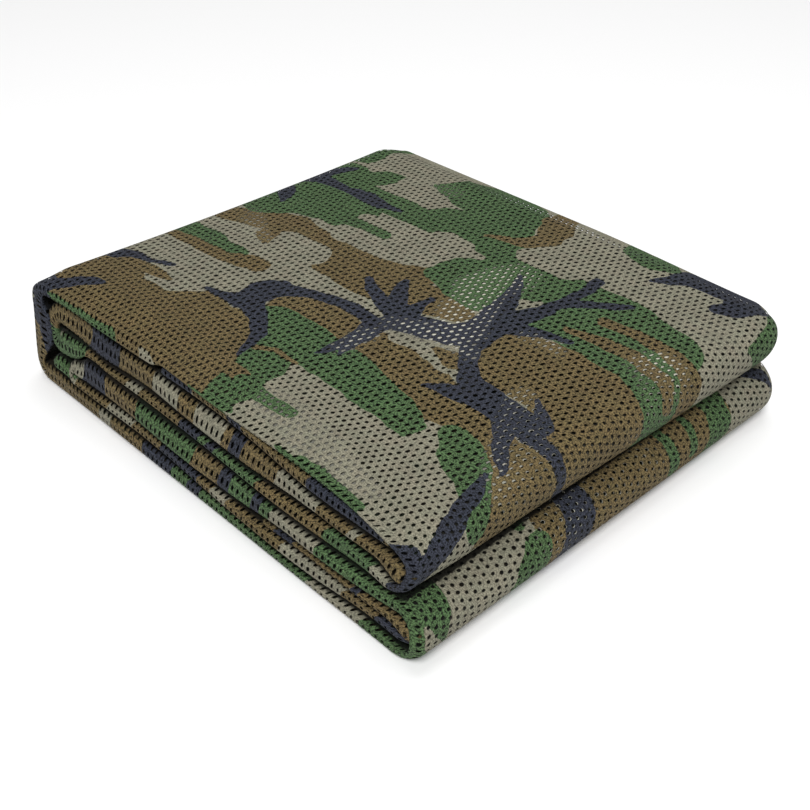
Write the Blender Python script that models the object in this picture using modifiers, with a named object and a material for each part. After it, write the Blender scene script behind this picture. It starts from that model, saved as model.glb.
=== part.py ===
"""A camouflage net: one length of printed mesh cloth, folded to four plies across its width,
then turned back and forth into six strips that lie on each other as a soft, flat bundle.

Metres, +Z up. The origin is at the middle of the bundle's underside. +X points from the spine
fold to the two rolled folds, and -Y is the side where each strip shows its rounded outer fold.
The mesh's small holes, two millimetres across, are too fine for this solid and stay uncut.
"""

import math

import bmesh
import bpy

# ---- driving sizes of the folded bundle ----
SPINE_X = -0.167
ROLL_X = 0.167
NEAR_Y = -0.146
FAR_Y = 0.146

# ---- the cloth and its plies ----
CLOTH_THICKNESS = 0.0012
PLY_PITCH = 0.0028
OUTER_PLY = 1.5 * PLY_PITCH  # from a strip's middle to its outer plies
INNER_PLY = 0.5 * PLY_PITCH
STRIP_HALF = OUTER_PLY + CLOTH_THICKNESS / 2

# Height of each strip's middle, from the top strip to the one on the ground
STRIP_Z = {
    "top": 0.0606,
    "upper_tongue": 0.0494,
    "upper_return": 0.0383,
    "lower_cover": 0.0272,
    "lower_tongue": 0.0157,
    "ground": STRIP_HALF,
}

# ---- the folds between the strips ----
SPINE_TOP_RADIUS = 0.0100
SPINE_FOOT_RADIUS = 0.0065
TONGUE_CLEARANCE = 0.0015  # between a tongue's free end and the roll around it
UPPER_TURN_X = SPINE_X + 0.0110  # leftmost point of the fold between the two upper strips
LOWER_TURN_X = SPINE_X + 0.0270
TONGUE_TAPER = 0.0080  # length over which a tongue's free end draws together
TONGUE_END_SHARE = 0.64  # share of the ply pitch that is left at the free end
TONGUE_TUCK = 0.0060  # how far a free end's near corner draws back

# ---- how the soft bundle settles ----
TOP_Z = STRIP_Z["top"] + STRIP_HALF
FIRM_Z = 2 * STRIP_HALF  # the ground strip stays flat below this height
LEAN = 0.0110  # how far the top strip's near edge lies back from the ground strip's
LEAN_REACH = 0.0600  # length in Y over which that lean fades
EDGE_DROP = 0.0030  # how far the top strip's upper side sinks at its near edge
EDGE_DROP_REACH = 0.0220
FAR_DROP = 0.0028
FAR_DROP_REACH = 0.0160
ROLL_DROP_SHARE = 0.06  # loss of height at the rolled end
NEAR_CORNER_DROP_SHARE = 0.045  # further loss of height at the rolled end's near corner
CROWN = 0.0022  # rise of the middle of the bundle over its edges
SPINE_SAG = 0.0026  # how far the middle of the spine's top edge sinks
WAVE = 0.0009  # unevenness of the strips' near edges
ROLL_SETBACK = 0.0085  # how far the upper roll's underside lies back from the lower roll
ROLL_SETBACK_TOP_SHARE = 0.10  # share of the setback that is left at the upper roll's top
ROLL_SKEW = 0.0060  # further setback of the upper roll at its near end

# Roundness of the four corners in plan: side in X, side in Y, radius
PLAN_CORNERS = [
    {"side_x": 1, "side_y": 1, "radius": 0.0220},
    {"side_x": 1, "side_y": -1, "radius": 0.0140},
    {"side_x": -1, "side_y": 1, "radius": 0.0120},
    {"side_x": -1, "side_y": -1, "radius": 0.0070},
]


def smooth(low, high, value):
    """0 below low, 1 above high, and an even slope between."""
    share = min(max((value - low) / (high - low), 0.0), 1.0)
    return share * share * (3 - 2 * share)


def mix(start, end, share):
    return start + (end - start) * share


# ---- the way along the cloth, in the X-Z plane ----
# A station is a point of the strips' middle line, with the direction that the bundle's outside lies in.


def run(z, x_from, x_to, steps, outside):
    """A straight strip, without its first point; outside is +1 or -1 for up or down."""
    return [
        {"x": mix(x_from, x_to, step / steps), "z": z, "out_x": 0.0, "out_z": outside}
        for step in range(1, steps + 1)
    ]


def turn(centre_x, centre_z, radius, angle_from, sweep, steps):
    """An arc of the middle line, without its first point; its outside points away from the centre."""
    stations = []
    for step in range(1, steps + 1):
        angle = math.radians(angle_from + sweep * step / steps)
        out_x, out_z = math.cos(angle), math.sin(angle)
        stations.append(
            {
                "x": centre_x + radius * out_x,
                "z": centre_z + radius * out_z,
                "out_x": out_x,
                "out_z": out_z,
            }
        )
    return stations


def half_turn(upper, lower, tip_x, side, goes_up, steps):
    """The fold that joins two strips, with its outer ply's tip at tip_x on that side."""
    radius = (STRIP_Z[upper] - STRIP_Z[lower]) / 2
    centre_x = tip_x - side * (radius + STRIP_HALF)
    centre_z = (STRIP_Z[upper] + STRIP_Z[lower]) / 2
    angle_from = -90 if goes_up else 90
    return centre_x, turn(centre_x, centre_z, radius, angle_from, 180, steps)


def middle_line():
    """Stations from the upper tongue's free end to the lower tongue's free end."""
    upper_left, upper_fold = half_turn("upper_tongue", "upper_return", UPPER_TURN_X, -1, False, 6)
    roll_right, upper_roll = half_turn("top", "upper_return", ROLL_X, 1, True, 8)
    base_right, lower_roll = half_turn("lower_cover", "ground", ROLL_X, 1, True, 8)
    lower_left, lower_fold = half_turn("lower_cover", "lower_tongue", LOWER_TURN_X, -1, False, 6)
    spine_x = SPINE_X + STRIP_HALF
    tongue_tip = ROLL_X - 2 * STRIP_HALF - TONGUE_CLEARANCE
    taper_start = tongue_tip - TONGUE_TAPER

    line = [{"x": tongue_tip, "z": STRIP_Z["upper_tongue"], "out_x": 0.0, "out_z": 1.0}]
    line += run(STRIP_Z["upper_tongue"], tongue_tip, taper_start, 2, 1.0)
    line += run(STRIP_Z["upper_tongue"], taper_start, upper_left, 4, 1.0)
    line += upper_fold
    line += run(STRIP_Z["upper_return"], upper_left, roll_right, 5, -1.0)
    line += upper_roll
    line += run(STRIP_Z["top"], roll_right, spine_x + SPINE_TOP_RADIUS, 7, 1.0)
    line += turn(
        spine_x + SPINE_TOP_RADIUS, STRIP_Z["top"] - SPINE_TOP_RADIUS, SPINE_TOP_RADIUS, 90, 90, 4
    )
    foot_z = STRIP_Z["ground"] + SPINE_FOOT_RADIUS
    line += [
        {"x": spine_x, "z": mix(STRIP_Z["top"] - SPINE_TOP_RADIUS, foot_z, share), "out_x": -1.0, "out_z": 0.0}
        for share in (0.5, 1.0)
    ]
    line += turn(spine_x + SPINE_FOOT_RADIUS, foot_z, SPINE_FOOT_RADIUS, 180, 90, 4)
    line += run(STRIP_Z["ground"], spine_x + SPINE_FOOT_RADIUS, base_right, 5, -1.0)
    line += lower_roll
    line += run(STRIP_Z["lower_cover"], base_right, lower_left, 5, 1.0)
    line += lower_fold
    line += run(STRIP_Z["lower_tongue"], lower_left, taper_start, 4, -1.0)
    line += run(STRIP_Z["lower_tongue"], taper_start, tongue_tip, 2, -1.0)
    return line


def tongue_end(line, index):
    """How far a station is into the taper of the nearer free end: 0 before it, 1 at the end."""
    way = 0.0
    step = 1 if index < len(line) / 2 else -1
    last = 0 if step == 1 else len(line) - 1
    for place in range(last, index, step):
        here, there = line[place], line[place + step]
        way += math.hypot(there["x"] - here["x"], there["z"] - here["z"])
        if way > TONGUE_TAPER:
            return 0.0
    return 1 - way / TONGUE_TAPER


# ---- the way across the cloth: four plies ----


def ply(offset, y_from, y_to, shares):
    """Points of a flat ply, without its first point."""
    return [(mix(y_from, y_to, share), offset) for share in shares]


def edge_fold(centre_y, centre_offset, radius, side, down, steps):
    """Points of the round fold that joins two plies, without its first point."""
    first = 90 if down else -90
    sweep = 180 if (down and side < 0) or (not down and side > 0) else -180
    points = []
    for step in range(1, steps + 1):
        angle = math.radians(first + sweep * step / steps)
        points.append(
            (centre_y + radius * math.cos(angle), centre_offset + radius * math.sin(angle))
        )
    return points


def across():
    """(y, offset from the strip's middle) from the outer ply's selvedge to the second ply's."""
    near = NEAR_Y + STRIP_HALF
    inner_near = near + 0.0006
    far = FAR_Y - CLOTH_THICKNESS
    far_fold = FAR_Y - STRIP_HALF
    line = [(far, OUTER_PLY)]
    line += ply(OUTER_PLY, far, near, (0.025, 0.055, 0.35, 0.65, 0.925, 0.96, 1.0))
    line += edge_fold(near, 0.0, OUTER_PLY, -1, True, 6)
    line += ply(-OUTER_PLY, near, far_fold, (0.05, 0.35, 0.68, 0.95, 1.0))
    line += edge_fold(far_fold, -2 * INNER_PLY, INNER_PLY, 1, False, 3)
    line += ply(-INNER_PLY, far_fold, inner_near, (0.05, 0.5, 0.94, 1.0))
    line += edge_fold(inner_near, 0.0, INNER_PLY, -1, False, 3)
    line += ply(INNER_PLY, inner_near, far, (0.06, 0.5, 0.95, 1.0))
    return line


# ---- how the bundle settles ----


def plan_corner_pull(x, y):
    """How far a point moves towards the middle in X, to round the bundle's corners in plan."""
    pull = 0.0
    for corner in PLAN_CORNERS:
        edge_y = FAR_Y if corner["side_y"] > 0 else -NEAR_Y
        into = (y * corner["side_y"] - (edge_y - corner["radius"])) / corner["radius"]
        into = min(max(into, 0.0), 0.97)
        reach = max(x * corner["side_x"], 0.0) / ROLL_X
        pull -= corner["side_x"] * corner["radius"] * (1 - math.sqrt(1 - into * into)) * reach
    return pull


def roll_setback(x, y, z):
    """How far a point of the upper strips lies back in X from the lower roll."""
    upper_floor = STRIP_Z["upper_return"] - STRIP_HALF
    upper = smooth(STRIP_Z["lower_cover"] + STRIP_HALF, upper_floor, z)
    rise = (z - upper_floor) / (TOP_Z - upper_floor)
    share = mix(1.0, ROLL_SETBACK_TOP_SHARE, min(max(rise, 0.0), 1.0))
    skew = ROLL_SKEW * (1 - smooth(NEAR_Y, FAR_Y, y))
    return upper * (ROLL_SETBACK * share + skew) * smooth(0.03, ROLL_X + 0.04, x)


def settle(x, y, z):
    """Where a point of the neatly folded cloth lies once the soft bundle has sunk and spread."""
    height = smooth(FIRM_Z * 0.6, TOP_Z, z)
    bow = max(1 - (x / ROLL_X) ** 4, 0.0)
    near = 1 - smooth(NEAR_Y, NEAR_Y + LEAN_REACH, y)
    lean = LEAN * height * near * mix(0.45, 1.0, bow)
    wave = WAVE * near * math.sin(41 * x + 260 * z) * smooth(0.0, FIRM_Z, z)

    loss = ROLL_DROP_SHARE * smooth(0.02, ROLL_X, x)
    loss += NEAR_CORNER_DROP_SHARE * smooth(0.0, ROLL_X, x) * (1 - smooth(NEAR_Y, 0.0, y))
    loose = max(z - FIRM_Z, 0.0)
    rise = CROWN * loose / (TOP_Z - FIRM_Z) * (1 - (x / ROLL_X) ** 2) * (1 - (y / FAR_Y) ** 2)

    rise -= SPINE_SAG * (1 - smooth(SPINE_X, SPINE_X + 0.08, x)) * (1 - (y / FAR_Y) ** 2) * height

    strip_share = smooth(STRIP_Z["top"] - STRIP_HALF, TOP_Z, z)
    drop = EDGE_DROP * (1 - smooth(NEAR_Y + 0.004, NEAR_Y + 0.004 + EDGE_DROP_REACH, y))
    drop += FAR_DROP * smooth(FAR_Y - FAR_DROP_REACH, FAR_Y, y)
    return (
        x + plan_corner_pull(x, y) - roll_setback(x, y, z),
        y + lean + wave,
        z - loss * loose + rise - drop * strip_share,
    )


# ---- the cloth ----


def cloth_material():
    material = bpy.data.materials.new("camouflage_knit")
    material.use_nodes = True
    shader = material.node_tree.nodes["Principled BSDF"]
    shader.inputs["Base Color"].default_value = (0.075, 0.095, 0.045, 1.0)
    shader.inputs["Roughness"].default_value = 0.9
    shader.inputs["Metallic"].default_value = 0.0
    return material


def folded_cloth():
    """The sheet as a grid, one row for each station along it, laid in its folds and thickened."""
    along = middle_line()
    section = across()
    build = bmesh.new()
    bmesh.ops.create_grid(
        build, x_segments=len(along) - 1, y_segments=len(section) - 1, size=0.5
    )
    for vertex in build.verts:
        row = round((vertex.co.x + 0.5) * (len(along) - 1))
        column = round((vertex.co.y + 0.5) * (len(section) - 1))
        station = along[row]
        y, offset = section[column]
        end = tongue_end(along, row)
        offset *= mix(1.0, TONGUE_END_SHARE, end * end)
        y += TONGUE_TUCK * end * end * (1 - smooth(NEAR_Y, NEAR_Y + 0.03, y))
        vertex.co = settle(
            station["x"] + station["out_x"] * offset, y, station["z"] + station["out_z"] * offset
        )
    bmesh.ops.recalc_face_normals(build, faces=build.faces)
    mesh = bpy.data.meshes.new("net_cloth")
    build.to_mesh(mesh)
    build.free()

    cloth = bpy.data.objects.new("net_cloth", mesh)
    cloth.data.materials.append(cloth_material())
    cloth.data.shade_smooth()
    thickness = cloth.modifiers.new("cloth_thickness", "SOLIDIFY")
    thickness.thickness = CLOTH_THICKNESS
    thickness.offset = 0.0
    thickness.use_even_offset = True
    return cloth


def main():
    for item in list(bpy.data.objects):
        bpy.data.objects.remove(item, do_unlink=True)
    collection = bpy.data.collections.new("camouflage_net")
    bpy.context.scene.collection.children.link(collection)
    collection.objects.link(folded_cloth())


main()
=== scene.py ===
"""The folded camouflage net's looks: knitted mesh cloth with its real holes, its printed camouflage
pattern and its matte yarn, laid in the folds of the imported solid.

Where the cloth lies comes from two ways: one along it, which winds through the bundle's strips, and
one across it, which goes to and fro through a strip's plies. Every piece is a patch of that cloth."""

import math

import bmesh
import bpy
import numpy as np
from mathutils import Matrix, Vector


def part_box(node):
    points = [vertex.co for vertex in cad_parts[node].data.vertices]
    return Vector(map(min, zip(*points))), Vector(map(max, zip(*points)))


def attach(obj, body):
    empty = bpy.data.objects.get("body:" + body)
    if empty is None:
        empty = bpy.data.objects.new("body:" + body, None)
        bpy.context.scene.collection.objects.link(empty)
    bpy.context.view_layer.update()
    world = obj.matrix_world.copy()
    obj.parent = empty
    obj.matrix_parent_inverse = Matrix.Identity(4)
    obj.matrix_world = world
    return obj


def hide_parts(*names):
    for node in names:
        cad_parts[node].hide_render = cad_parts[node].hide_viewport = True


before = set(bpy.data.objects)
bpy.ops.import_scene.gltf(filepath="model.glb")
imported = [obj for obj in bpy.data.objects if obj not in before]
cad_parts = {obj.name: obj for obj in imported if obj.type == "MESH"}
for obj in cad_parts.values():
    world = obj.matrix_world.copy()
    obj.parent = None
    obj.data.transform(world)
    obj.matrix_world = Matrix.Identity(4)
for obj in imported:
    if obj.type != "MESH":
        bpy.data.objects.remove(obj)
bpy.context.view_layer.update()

LOW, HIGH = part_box("net_cloth")

# ---- the mesh cloth's knit ----
HOLE_PITCH = 0.00425  # along the cloth, between holes of one row
ROW_PITCH = 0.0045  # across the cloth, between rows; each second row is set half a pitch over
# Half the width and length of a hole, and how far its ends lean along the cloth as a share of its
# length: where the cloth lies flat, and where a roll stretches it.
FLAT_HOLE = {"width": 0.00086, "length": 0.00138, "slant": 0.12}
ROLL_HOLE = {"width": 0.00094, "length": 0.00108, "slant": 0.04}
HOLE_UNEVENNESS = 0.12
SELVEDGE_ROWS = 1  # rows without holes along the cloth's own edge
SKIN = 0.0003  # half of the yarn's thickness, which keeps the cloth off the ground

# ---- the folds, in metres ----
SPINE_X = LOW.x + SKIN
ROLL_X = HIGH.x - SKIN
NEAR_Y = LOW.y + SKIN
FAR_Y = HIGH.y - SKIN
SPINE_HALF = 0.0088  # half of the spine's thickness, but for its near edge
SPINE_TOP_TURN = 0.0147
SPINE_FOOT_TURN = 0.0112
UPPER_FOLD_X = {"near": -0.1530, "far": -0.1540}
LOWER_FOLD_X = {"near": -0.1290, "far": -0.1440}
UPPER_TONGUE_TIP_X = ROLL_X - 0.0012
LOWER_TONGUE_TIP_X = ROLL_X - 0.0050
ROLL_PINCH = 0.45  # the share by which a roll is thinner half way round
TONGUE_TAPER = 0.0080  # how far in from its tip a tongue narrows
TONGUE_END_SHARE = 0.50
TONGUE_TUCK = 0.0050
TUCK_REACH = (0.004, 0.030)  # how far in from the near edge a fold's setback is lost
INNERMOST_SHARE = 0.95  # how close to a strip's other face its inner plies may lie
SECOND_PLY_GAP = 0.0007
NEAR_FOLD_ROWS = 3  # rows of holes round the near fold's nose
PLY_ROWS = 64  # rows of holes across one ply
THIRD_PLY_SHARE = 0.20  # where the third ply lies, as a share of the strip's half thickness

# Each folded strip at the near edge, in millimetres before the bundle settles: the lowest and the
# highest point of its near fold at places along the bundle, and how far the fold is set back.
NEAR_STRIPS = {
    "top": [
        (-151, 57.2, 65.4, 0.0), (-121, 57.8, 65.4, 0.0), (-101, 56.2, 65.4, 0.0), (-60, 55.5, 65.4, 0.0),
        (-46, 55.6, 65.4, 0.0), (-38, 63.7, 65.4, 0.0),
        (-20, 63.7, 65.4, 0.0), (0, 62.9, 65.4, 0.0), (41, 62.4, 65.4, 0.0), (84, 61.3, 65.4, 0.0),
        (128, 62.2, 65.4, 0.0), (150, 60.4, 65.4, 0.0),
    ],
    "upper_tongue": [
        (-151, 44.8, 55.9, 1.0), (-120, 41.4, 56.0, 1.8), (-105, 38.8, 54.8, 2.2), (-92, 37.6, 52.3, 2.6),
        (-75, 38.2, 52.5, 2.5), (-50, 38.9, 52.9, 2.4), (-20, 38.4, 51.7, 2.0), (0, 38.3, 51.7, 1.8),
        (41, 38.7, 51.2, 1.0), (63, 39.4, 50.4, 0.8), (85, 40.5, 49.8, 0.5), (108, 42.3, 50.4, 0.5),
        (130, 45.4, 52.0, 0.5), (143, 46.2, 53.8, 0.5), (153, 43.4, 54.7, 0.4), (160, 41.5, 54.5, 0.3),
        (166, 43.0, 53.0, 0.3),
    ],
    "upper_return": [
        (-141, 24.4, 40.5, 1.0), (-128, 25.0, 40.5, 1.0), (-119, 28.5, 40.6, 1.2), (-111, 34.5, 39.4, 2.0),
        (-100, 35.0, 38.0, 2.0),
        (-90, 33.8, 36.8, 2.0), (-80, 33.4, 37.2, 1.9), (-60, 32.9, 38.0, 1.6), (-20, 31.4, 37.5, 1.5),
        (0, 31.1, 37.4, 1.4), (41, 31.2, 37.6, 1.0), (86, 31.6, 39.4, 0.7), (109, 31.9, 41.2, 0.6),
        (132, 32.6, 44.1, 0.5), (146, 33.6, 43.8, 0.4), (158, 34.8, 40.2, 0.3),
    ],
    "lower_cover": [
        (-117, 18.8, 27.5, 0.0), (-112, 18.7, 33.0, 0.0), (-101, 18.6, 34.0, 0.0), (-91, 18.7, 32.8, 0.0),
        (-60, 19.0, 31.8, 0.0), (-20, 18.6, 30.4, 0.0), (0, 18.3, 30.1, 0.0), (41, 18.2, 30.2, 0.0),
        (57, 19.2, 30.2, 0.0), (72, 20.1, 30.3, 0.0), (93, 21.2, 30.7, 0.0), (124, 23.7, 31.3, 0.0),
        (145, 25.1, 32.6, 0.0), (157, 26.3, 32.9, 0.0),
    ],
    "lower_tongue": [
        (-117, 13.3, 18.0, 0.4), (-101, 12.9, 17.6, 0.4), (-60, 11.8, 18.0, 0.5), (-20, 10.4, 17.6, 0.5),
        (0, 9.8, 17.3, 0.4), (31, 9.0, 17.0, 0.3), (51, 8.4, 16.3, 0.3), (62, 8.1, 15.9, 0.3),
        (82, 7.6, 15.9, 0.3), (98, 7.5, 16.2, 0.3), (113, 8.3, 16.8, 0.3), (124, 9.2, 17.5, 0.3),
        (144, 10.3, 18.6, 0.4), (154, 10.7, 18.0, 0.4), (160, 11.0, 15.2, 0.4), (165, 11.4, 12.8, 0.4),
    ],
    "ground": [
        (-156, 0.3, 12.9, 0.0), (-141, 0.3, 12.6, 0.0), (-101, 0.3, 11.9, 0.0), (-60, 0.3, 10.8, 0.0),
        (-20, 0.3, 9.4, 0.0), (0, 0.3, 8.8, 0.0), (41, 0.3, 7.7, 0.0), (83, 0.3, 6.6, 0.0),
        (98, 0.3, 6.5, 0.0), (124, 0.3, 8.0, 0.0), (145, 0.3, 7.2, 0.0), (157, 0.3, 5.6, 0.0),
    ],
}
# Lips of inner plies that show between the strips' near folds.
LIPS = {
    "top_lip": [
        (-44, 54.2, 57.5, 1.0), (-38, 53.8, 61.6, 1.0), (-20, 53.4, 62.0, 1.0), (0, 53.2, 60.9, 1.0),
        (20, 53.1, 60.8, 1.0), (41, 52.7, 60.4, 1.0), (62, 51.9, 59.8, 0.9), (84, 51.2, 59.7, 0.8),
        (106, 51.7, 60.6, 0.8), (129, 53.0, 61.3, 0.8), (140, 54.1, 60.8, 0.8), (154, 57.2, 60.0, 0.8),
    ],
    "lower_lip": [
        (51, 17.0, 18.0, 0.3), (62, 16.7, 18.9, 0.3), (82, 16.9, 20.1, 0.3), (103, 17.4, 21.4, 0.3),
        (124, 18.4, 23.0, 0.3), (144, 19.6, 24.5, 0.3), (150, 19.0, 25.0, 0.3), (156, 16.7, 25.2, 0.3),
        (160, 13.9, 24.8, 0.3), (163, 13.1, 23.4, 0.3), (165, 13.5, 19.0, 0.3),
    ],
    "left_lip": [
        (-149, 13.8, 17.0, 0.3), (-145, 13.8, 21.5, 0.5), (-138, 13.8, 23.5, 0.8), (-131, 13.8, 21.5, 1.0),
        (-125, 13.7, 19.6, 1.2), (-116, 13.6, 18.4, 1.4),
    ],
}
# The same strips further in and at the far edge, where they lie evenly.
FAR_STRIPS = {
    "top": (56.2, 65.4),
    "upper_tongue": (43.4, 54.8),
    "upper_return": (33.6, 42.0),
    "lower_cover": (20.7, 32.1),
    "lower_tongue": (10.8, 19.2),
    "ground": (0.3, 9.5),
}
NEAR_STRIPS_REACH = (0.020, 0.130)  # how far in from the near edge the strips become even
# Half of the spine's thickness at its near edge, at heights in millimetres.
NEAR_SPINE = [(11, 5.0), (15, 5.2), (22, 8.0), (28, 10.4), (36, 11.0), (44, 9.8), (50, 6.4), (56, 6.0)]

# ---- how the soft bundle settles, in metres ----
TOP_Z = 0.0654
FIRM_Z = 0.0096  # below this height the bundle stays as it was folded
TOP_STRIP_LOW = 0.0562
LOWER_ROLL_TOP = 0.0321
UPPER_ROLL_FOOT = 0.0336
# The near edge leans back as it rises, less at its two ends, and its strips wave in and out.
LEAN = 0.0110
LEAN_REACH = 0.0600
LEAN_AT_ENDS_SHARE = 0.45
LEAN_STARTS_SHARE = 0.6
WAVE = 0.0009
WAVE_TURNS = {"along": 41, "up": 260}
WAVE_FULL_FROM_X = -0.12
# The top strip drops at its near edge, less towards the roll, and at its far edge.
EDGE_DROP = 0.0036
EDGE_DROP_AT_ROLL = 0.0016
EDGE_DROP_SPAN_X = (0.02, 0.12)
EDGE_DROP_FROM = 0.004
EDGE_DROP_REACH = 0.0240
FAR_DROP = 0.0028
FAR_DROP_REACH = 0.0160
# The loose layers lose height towards the roll and the near right corner, and the top is crowned.
ROLL_DROP_SHARE = 0.06
ROLL_DROP_FROM_X = 0.02
NEAR_CORNER_DROP_SHARE = 0.045
CROWN = 0.0022
SPINE_SAG = 0.0026
SPINE_SAG_REACH = 0.08
# The upper roll is set back from the lower one, more at its foot and at its near end, and it sags.
ROLL_SETBACK = 0.0085
ROLL_SETBACK_TOP_SHARE = 0.10
ROLL_SETBACK_FROM_X = 0.03
ROLL_SETBACK_PAST = 0.04
ROLL_SKEW = 0.0060
ROLL_SAG = 0.0022
ROLL_SAG_FROM_X = 0.09
ROLL_SAG_FROM_EDGE = (0.004, 0.040)
ROLL_SAG_HEIGHT = 0.013
# Corners of the bundle as seen from above.
CORNER_LIMIT = 0.97
PLAN_CORNERS = [
    {"side_x": 1, "side_y": 1, "radius": 0.0190},
    {"side_x": 1, "side_y": -1, "radius": 0.0050},
    {"side_x": -1, "side_y": 1, "radius": 0.0120},
    {"side_x": -1, "side_y": -1, "radius": 0.0095},
]


def smooth(low, high, value):
    """A smooth step from 0 at the low place to 1 at the high one."""
    share = np.clip((value - low) / (high - low), 0.0, 1.0)
    return share * share * (3 - 2 * share)


def mix(start, end, share):
    return start + (end - start) * share


# ---- the way along the cloth ----

STRIP_GAP = 0.7  # how much lower the near strips' tops lie, in millimetres, so that they stand apart
STRIP_SOFTENING = 0.003  # how far either way a strip's heights are evened out
PAST_THE_ENDS = 200  # a place past both ends of the bundle, in millimetres
STRIP_STEPS = 301
TURN_STEPS = 61


def strip_edges(rows, x):
    """The low and high edges of a strip and its setback at places along the bundle, in metres."""
    table = np.array(rows) / 1000
    around = np.linspace(-STRIP_SOFTENING, STRIP_SOFTENING, 5)
    return [
        np.mean([np.interp(x + step, table[:, 0], table[:, column]) for step in around], axis=0)
        for column in (1, 2, 3)
    ]


def strip_rows(name, edge):
    """A strip's rows at the near or the far edge."""
    if edge == "near":
        apart = 0.0 if name == "top" else STRIP_GAP
        return [(x, low, high - apart, setback) for x, low, high, setback in NEAR_STRIPS[name]]
    low, high = FAR_STRIPS[name]
    return [(x, low, high, 0.0) for x in (-PAST_THE_ENDS, PAST_THE_ENDS)]


def strip(rows, x_from, x_to, outside):
    """Samples of a strip's middle line: x, z, the angle that its outside lies in, half of its
    thickness, and its setback."""
    x = np.linspace(x_from, x_to, STRIP_STEPS)
    low, high, inset = strip_edges(rows, x)
    return np.stack([x, (low + high) / 2, np.full(len(x), float(outside)), (high - low) / 2, inset])


def turn(centre, outer, angles, halves, insets=(0.0, 0.0), pinch=0.0):
    """The same samples round a turn that keeps its outer radius while its thickness changes."""
    share = np.linspace(0, 1, TURN_STEPS)
    angle = mix(*angles, share)
    half = mix(*halves, smooth(0, 1, share)) * (1 - pinch * np.sin(math.pi * share))
    radius = outer - half
    x = centre[0] + radius * np.cos(np.radians(angle))
    z = centre[1] + radius * np.sin(np.radians(angle))
    return np.stack([x, z, angle, half, mix(*insets, share)])


def turn_between(upper, lower, nose_x, side):
    """Where a turn joins two strips with its nose at a place: its centre, outer radius and ends."""
    centre_x = nose_x
    for _ in range(4):
        above, high, high_inset = strip_edges(upper, centre_x)
        low, below, low_inset = strip_edges(lower, centre_x)
        outer = (high - low) / 2
        centre_x = nose_x - side * outer
    halves = (high - above) / 2, (below - low) / 2
    return {
        "centre": (centre_x, (high + low) / 2),
        "outer": outer,
        "halves": halves,
        "insets": (high_inset, low_inset),
    }


def way_samples(edge):
    """The samples of each leg of the way along the cloth, at the near or the far edge. The outside's
    angle counts on from leg to leg, by half a turn at each fold."""
    rows = {name: strip_rows(name, edge) for name in NEAR_STRIPS}
    upper_fold = turn_between(rows["upper_tongue"], rows["upper_return"], UPPER_FOLD_X[edge], -1)
    lower_fold = turn_between(rows["lower_cover"], rows["lower_tongue"], LOWER_FOLD_X[edge], -1)
    upper_roll = turn_between(rows["top"], rows["upper_return"], ROLL_X, 1)
    lower_roll = turn_between(rows["lower_cover"], rows["ground"], ROLL_X, 1)
    top_corner = (SPINE_X + SPINE_TOP_TURN, TOP_Z - SPINE_TOP_TURN)
    foot = (SPINE_X + SPINE_FOOT_TURN, SKIN + SPINE_FOOT_TURN)
    low, high, _ = strip_edges(rows["top"], top_corner[0])
    top_half = (high - low) / 2
    low, high, _ = strip_edges(rows["ground"], foot[0])
    ground_half = (high - low) / 2
    rise = np.linspace(top_corner[1], foot[1], TURN_STEPS)
    spine_half = np.full(TURN_STEPS, SPINE_HALF)
    if edge == "near":
        spine_half = np.interp(rise * 1000, *np.transpose(NEAR_SPINE)) / 1000
    spine = np.stack([
        SPINE_X + spine_half,
        rise,
        np.full(TURN_STEPS, 540.0),
        spine_half,
        np.zeros(TURN_STEPS),
    ])

    def round_turn(joint, angles, down):
        order = slice(None) if down else slice(None, None, -1)
        pinch = 0.0 if down else ROLL_PINCH
        halves, insets = joint["halves"][order], joint["insets"][order]
        return turn(joint["centre"], joint["outer"], angles, halves, insets, pinch)

    upper_fold_x, lower_fold_x = upper_fold["centre"][0], lower_fold["centre"][0]
    upper_roll_x, lower_roll_x = upper_roll["centre"][0], lower_roll["centre"][0]
    return {
        "upper_tongue": strip(rows["upper_tongue"], UPPER_TONGUE_TIP_X, upper_fold_x, 90),
        "upper_fold": round_turn(upper_fold, (90, 270), True),
        "upper_return": strip(rows["upper_return"], upper_fold_x, upper_roll_x, 270),
        "upper_roll": round_turn(upper_roll, (270, 450), False),
        "top": strip(rows["top"], upper_roll_x, top_corner[0], 450),
        "spine_top": turn(top_corner, SPINE_TOP_TURN, (450, 540), (top_half, spine_half[0])),
        "spine": spine,
        "spine_foot": turn(foot, SPINE_FOOT_TURN, (540, 630), (spine_half[-1], ground_half)),
        "ground": strip(rows["ground"], foot[0], lower_roll_x, 630),
        "lower_roll": round_turn(lower_roll, (630, 810), False),
        "lower_cover": strip(rows["lower_cover"], lower_roll_x, lower_fold_x, 810),
        "lower_fold": round_turn(lower_fold, (810, 990), True),
        "lower_tongue": strip(rows["lower_tongue"], lower_fold_x, LOWER_TONGUE_TIP_X, 990),
    }


def way_from(near_legs, far_legs, start=0.0, spread=1.0):
    """A way along the cloth: the outer ply's length so far, the strips' samples at both edges, and
    how much further in the rows lie than the lean of the near edge would leave them."""
    near, far = (np.concatenate(list(legs.values()), axis=1) for legs in (near_legs, far_legs))
    turned = np.radians(near[2])
    outer_x = near[0] + np.cos(turned) * near[3]
    outer_z = near[1] + np.sin(turned) * near[3]
    length = start + np.concatenate([[0.0], np.cumsum(np.hypot(np.diff(outer_x), np.diff(outer_z)))])
    ends, last = {}, 0
    for name, leg in near_legs.items():
        ends[name] = (last, last + leg.shape[1] - 1)
        last += leg.shape[1]
    return {"length": length, "near": near, "far": far, "legs": ends, "spread": spread}


WAY = way_from(way_samples("near"), way_samples("far"))
CLOTH_LENGTH = WAY["length"][-1]
LIP_SPREAD = 1.25
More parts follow.
